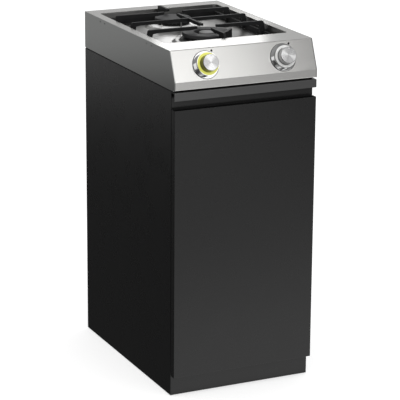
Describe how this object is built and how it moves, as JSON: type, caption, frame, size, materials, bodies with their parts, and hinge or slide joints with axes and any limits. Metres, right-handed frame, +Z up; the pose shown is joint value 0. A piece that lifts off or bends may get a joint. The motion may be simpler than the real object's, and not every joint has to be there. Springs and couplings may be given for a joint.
{
  "type": "outdoor kitchen hob module",
  "caption": "Narrow free-standing outdoor kitchen cabinet with a sunk gas hob, slanted control fascia, ring-lit knobs, cast pan support and a full-height door.",
  "frame": {"origin": "on the floor, midway across the width and midway between the front of the knobs and the back of the module", "axes": "+X to the module's right seen from the front, +Y to the back, +Z up"},
  "size_m": [0.4, 0.6159, 0.925],
  "materials": {
    "black_powder_coat": "fine matt black powder coat",
    "black_aluminium": "satin black",
    "stainless": "fine brushed",
    "pan_steel": "polished stainless",
    "cast_iron": "matt black enamel on cast iron",
    "burner_enamel": "satin black enamel",
    "burner_alloy": "cast, darkened by heat",
    "base_alloy": "polished",
    "knob_metal": "satin",
    "chrome": "polished",
    "lit_lens": "clear light guide, lit yellow",
    "lens": "clear light guide, unlit",
    "fittings_steel": "zinc plated",
    "screws": "black plated",
    "rubber": "matt",
    "black_plastic": "matt",
    "white_plastic": "matt",
    "brass": "machined",
    "gas_pipe": "zinc plated",
    "ceramic": "white ceramic",
    "lead": "insulated wire"
  },
  "bodies": {
    "cabinet": {"left_side_panel": "black_powder_coat", "right_side_panel": "black_powder_coat", "plinth": "black_powder_coat", "base_panel": "black_powder_coat", "levelling_feet": "black_plastic", "foot_nuts": "fittings_steel", "back_panel": "black_powder_coat", "hose_grommet": "rubber", "front_crossmember": "black_powder_coat", "rear_crossmember": "black_powder_coat", "grip_rail": "black_aluminium", "seating_gasket": "rubber", "upper_hinge_leaf": "fittings_steel", "lower_hinge_leaf": "fittings_steel", "hinge_pins": "fittings_steel", "magnetic_catch": "black_plastic", "hinge_screws": "screws", "back_panel_screws": "screws", "hob_left_side": "stainless", "hob_right_side": "stainless", "hob_back": "stainless", "worktop": "stainless", "hob_base_tray": "stainless", "hob_pan": "pan_steel", "left_gas_valve": "brass", "right_gas_valve": "brass", "left_bezel": "chrome", "right_bezel": "chrome", "left_light_ring": "lit_lens", "right_light_ring": "lens", "manifold": "gas_pipe", "gas_inlet": "gas_pipe", "gas_pipes": "gas_pipe", "rear_burner_base": "base_alloy", "front_burner_base": "base_alloy", "injectors": "brass", "electrode_sleeves": "ceramic", "electrodes": "fittings_steel", "thermocouples": "fittings_steel", "spark_generator": "white_plastic", "battery_case": "black_plastic", "ignition_leads": "lead", "thermocouple_leads": "lead"},
    "door": {"door_skin": "black_powder_coat", "door_liner": "black_powder_coat", "hinge_blocks": "fittings_steel", "catch_keeper": "fittings_steel", "door_bumpers": "rubber"},
    "left_plunger": {"left_valve_plunger": "fittings_steel"},
    "left_control": {"left_knob": "knob_metal", "left_spindle": "fittings_steel"},
    "right_plunger": {"right_valve_plunger": "fittings_steel"},
    "right_control": {"right_knob": "knob_metal", "right_spindle": "fittings_steel"},
    "grate": {"pan_support": "cast_iron"},
    "rear_head": {"rear_flame_head": "burner_alloy"},
    "rear_cap": {"rear_burner_cap": "burner_enamel"},
    "front_head": {"front_flame_head": "burner_alloy"},
    "front_outer_cap_body": {"front_outer_cap": "burner_enamel"},
    "front_inner_cap_body": {"front_inner_cap": "burner_enamel"}
  },
  "joints": [
    {"name": "door_swing", "type": "hinge", "parent": "cabinet", "child": "door", "pos_m": [0.193, -0.27288, 0.4117], "axis": [0, 0, 1], "range_deg": [0, 100]},
    {"name": "left_push", "type": "slide", "parent": "cabinet", "child": "left_plunger", "axis": [0, 0.9247, -0.3808], "range_m": [0, 0.004], "stiffness_N_per_m": 1500, "springref_m": -0.002},
    {"name": "left_turn", "type": "hinge", "parent": "left_plunger", "child": "left_control", "pos_m": [-0.1087, -0.26811, 0.87488], "axis": [0, -0.9247, 0.3808], "range_deg": [0, 210]},
    {"name": "right_push", "type": "slide", "parent": "cabinet", "child": "right_plunger", "axis": [0, 0.9247, -0.3808], "range_m": [0, 0.004], "stiffness_N_per_m": 1500, "springref_m": -0.002},
    {"name": "right_turn", "type": "hinge", "parent": "right_plunger", "child": "right_control", "pos_m": [0.1087, -0.26811, 0.87488], "axis": [0, -0.9247, 0.3808], "range_deg": [0, 210]},
    {"name": "grate_lift", "type": "slide", "parent": "cabinet", "child": "grate", "axis": [0, 0, 1], "range_m": [0, 0.06]},
    {"name": "rear_head_lift", "type": "slide", "parent": "cabinet", "child": "rear_head", "axis": [0, 0, 1], "range_m": [0, 0.003]},
    {"name": "rear_cap_lift", "type": "slide", "parent": "rear_head", "child": "rear_cap", "axis": [0, 0, 1], "range_m": [0, 0.003]},
    {"name": "front_head_lift", "type": "slide", "parent": "cabinet", "child": "front_head", "axis": [0, 0, 1], "range_m": [0, 0.003]},
    {"name": "front_outer_cap_lift", "type": "slide", "parent": "front_head", "child": "front_outer_cap_body", "axis": [0, 0, 1], "range_m": [0, 0.003]},
    {"name": "front_inner_cap_lift", "type": "slide", "parent": "front_head", "child": "front_inner_cap_body", "axis": [0, 0, 1], "range_m": [0, 0.003]}
  ]
}
